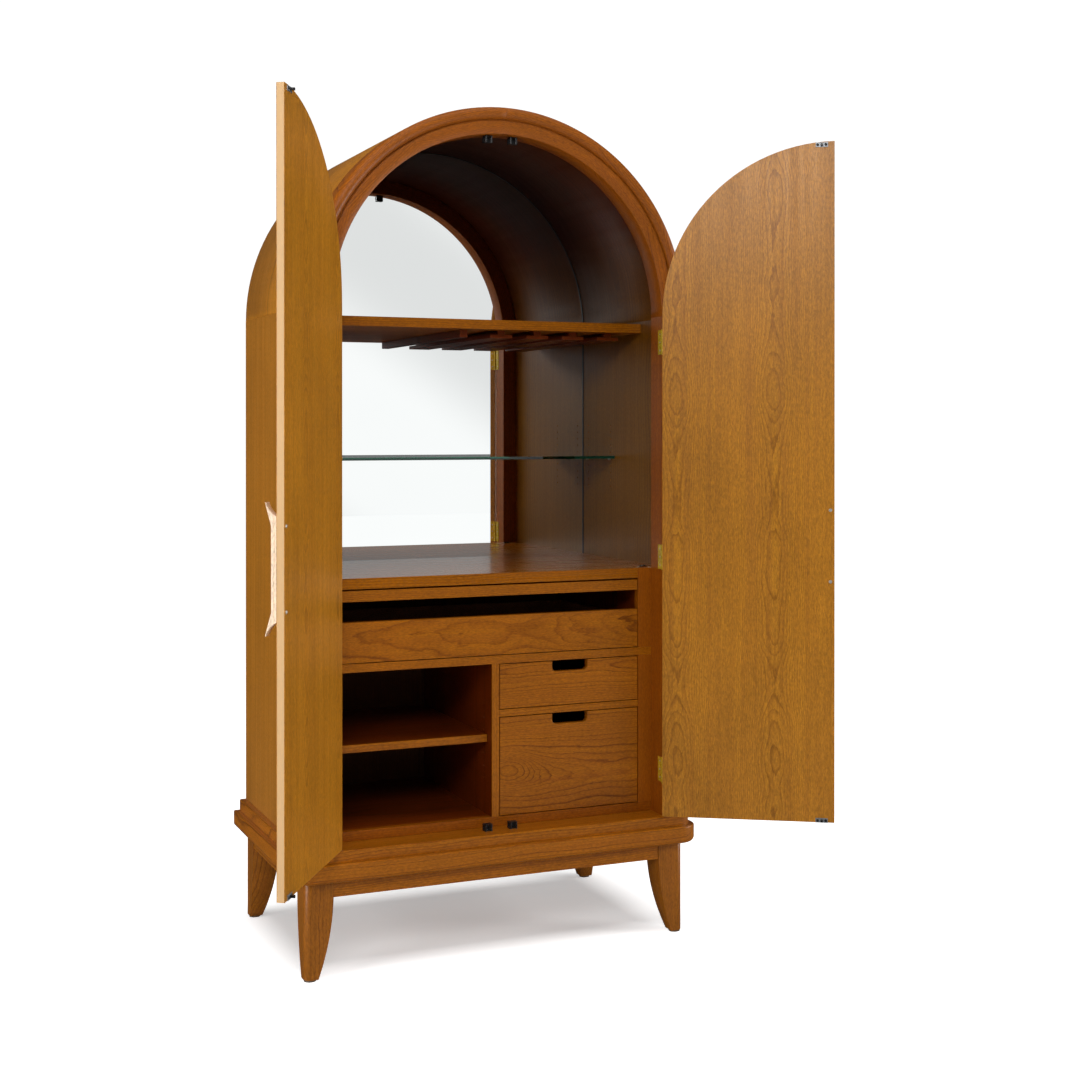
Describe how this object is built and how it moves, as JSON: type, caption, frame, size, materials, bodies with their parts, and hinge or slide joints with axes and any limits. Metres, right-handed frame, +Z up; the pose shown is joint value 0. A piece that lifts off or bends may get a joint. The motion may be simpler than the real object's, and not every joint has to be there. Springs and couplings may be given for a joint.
{
  "type": "armoire",
  "caption": "Arched-top bar armoire on tapered legs, with two tall hinged doors, a mirrored display space, shelves, a pull-out board and drawers.",
  "frame": {"origin": "on the floor, midway between the four feet", "axes": "+X to the right seen from the front, +Y from the front to the back, +Z up; the doors open towards -Y"},
  "size_m": [1.5837, 1.0493, 2.21],
  "materials": {
    "case_wood": "satin lacquer over stained cherry veneer, vertical grain",
    "moulding_wood": "satin lacquer over stained solid cherry",
    "plinth_wood": "satin lacquer over stained solid cherry, horizontal grain",
    "leg_wood": "satin lacquer over stained solid cherry, vertical grain",
    "glide_plastic": "matte",
    "back_board": "plain stained board",
    "mirror_glass": "silvered, with a dark seam at its edge",
    "inner_wood": "satin lacquer, darker than the outside",
    "front_wood": "satin lacquer over stained cherry, horizontal grain",
    "drawer_wood": "clear-finished maple",
    "shelf_glass": "clear, with a green polished edge",
    "black_hardware": "satin black",
    "brass": "polished",
    "screw_steel": "satin",
    "door_wood": "satin lacquer over slip-matched cherry veneer, vertical cathedral grain",
    "pull_wood": "satin lacquer over pale solid wood"
  },
  "bodies": {
    "carcass": {"lower_tier": "plinth_wood", "upper_tier": "plinth_wood", "apron_front": "plinth_wood", "apron_back": "plinth_wood", "apron_sides": "plinth_wood", "leg_front_left": "leg_wood", "leg_front_right": "leg_wood", "leg_back_left": "leg_wood", "leg_back_right": "leg_wood", "foot_glides": "glide_plastic", "side_panel_left": "case_wood", "side_panel_right": "case_wood", "arch_shell": "case_wood", "frame_stile_left": "moulding_wood", "frame_stile_right": "moulding_wood", "arch_moulding_left": "moulding_wood", "arch_moulding_right": "moulding_wood", "back_panel": "back_board", "mirror_panel": "mirror_glass", "bottom_panel": "inner_wood", "bottom_rail": "front_wood", "counter": "front_wood", "inner_stiles": "front_wood", "case_sides": "inner_wood", "middle_shelf": "front_wood", "drawer_rail": "front_wood", "centre_divider": "inner_wood", "low_shelf": "inner_wood", "shelf_pegs": "screw_steel", "top_shelf": "front_wood", "stemware_rails": "front_wood", "glass_shelf": "shelf_glass", "ceiling_light": "black_hardware", "light_switch": "black_hardware", "door_catches": "black_hardware", "drawer_runners": "drawer_wood", "hinge_leaves_left": "brass", "hinge_leaves_right": "brass", "hinge_pins": "brass", "frame_screws": "screw_steel"},
    "left_door": {"left_door_panel": "door_wood", "left_door_pull": "pull_wood", "left_door_leaves": "brass", "left_door_strikes": "black_hardware", "left_door_screws": "screw_steel"},
    "right_door": {"right_door_panel": "door_wood", "right_door_pull": "pull_wood", "right_door_leaves": "brass", "right_door_strikes": "black_hardware", "right_door_screws": "screw_steel"},
    "serving_board": {"serving_board": "front_wood"},
    "wide_drawer": {"wide_drawer_front": "front_wood", "wide_drawer_box": "drawer_wood", "wide_drawer_bottom": "drawer_wood"},
    "small_drawer": {"small_drawer_front": "front_wood", "small_drawer_box": "drawer_wood", "small_drawer_bottom": "drawer_wood"},
    "large_drawer": {"large_drawer_front": "front_wood", "large_drawer_box": "drawer_wood", "large_drawer_bottom": "drawer_wood"}
  },
  "joints": [
    {"name": "left_door_hinge", "type": "hinge", "parent": "carcass", "child": "left_door", "pos_m": [-0.4599, -0.324, 1], "axis": [0, 0, -1], "range_deg": [-122.4, 47.6]},
    {"name": "right_door_hinge", "type": "hinge", "parent": "carcass", "child": "right_door", "pos_m": [0.4599, -0.324, 1], "axis": [0, 0, 1], "range_deg": [-147.5, 22.5]},
    {"name": "serving_board_slide", "type": "slide", "parent": "carcass", "child": "serving_board", "axis": [0, -1, 0], "range_m": [0, 0.3]},
    {"name": "wide_drawer_slide", "type": "slide", "parent": "carcass", "child": "wide_drawer", "axis": [0, -1, 0], "range_m": [0, 0.36]},
    {"name": "small_drawer_slide", "type": "slide", "parent": "carcass", "child": "small_drawer", "axis": [0, -1, 0], "range_m": [0, 0.36]},
    {"name": "large_drawer_slide", "type": "slide", "parent": "carcass", "child": "large_drawer", "axis": [0, -1, 0], "range_m": [0, 0.36]}
  ]
}
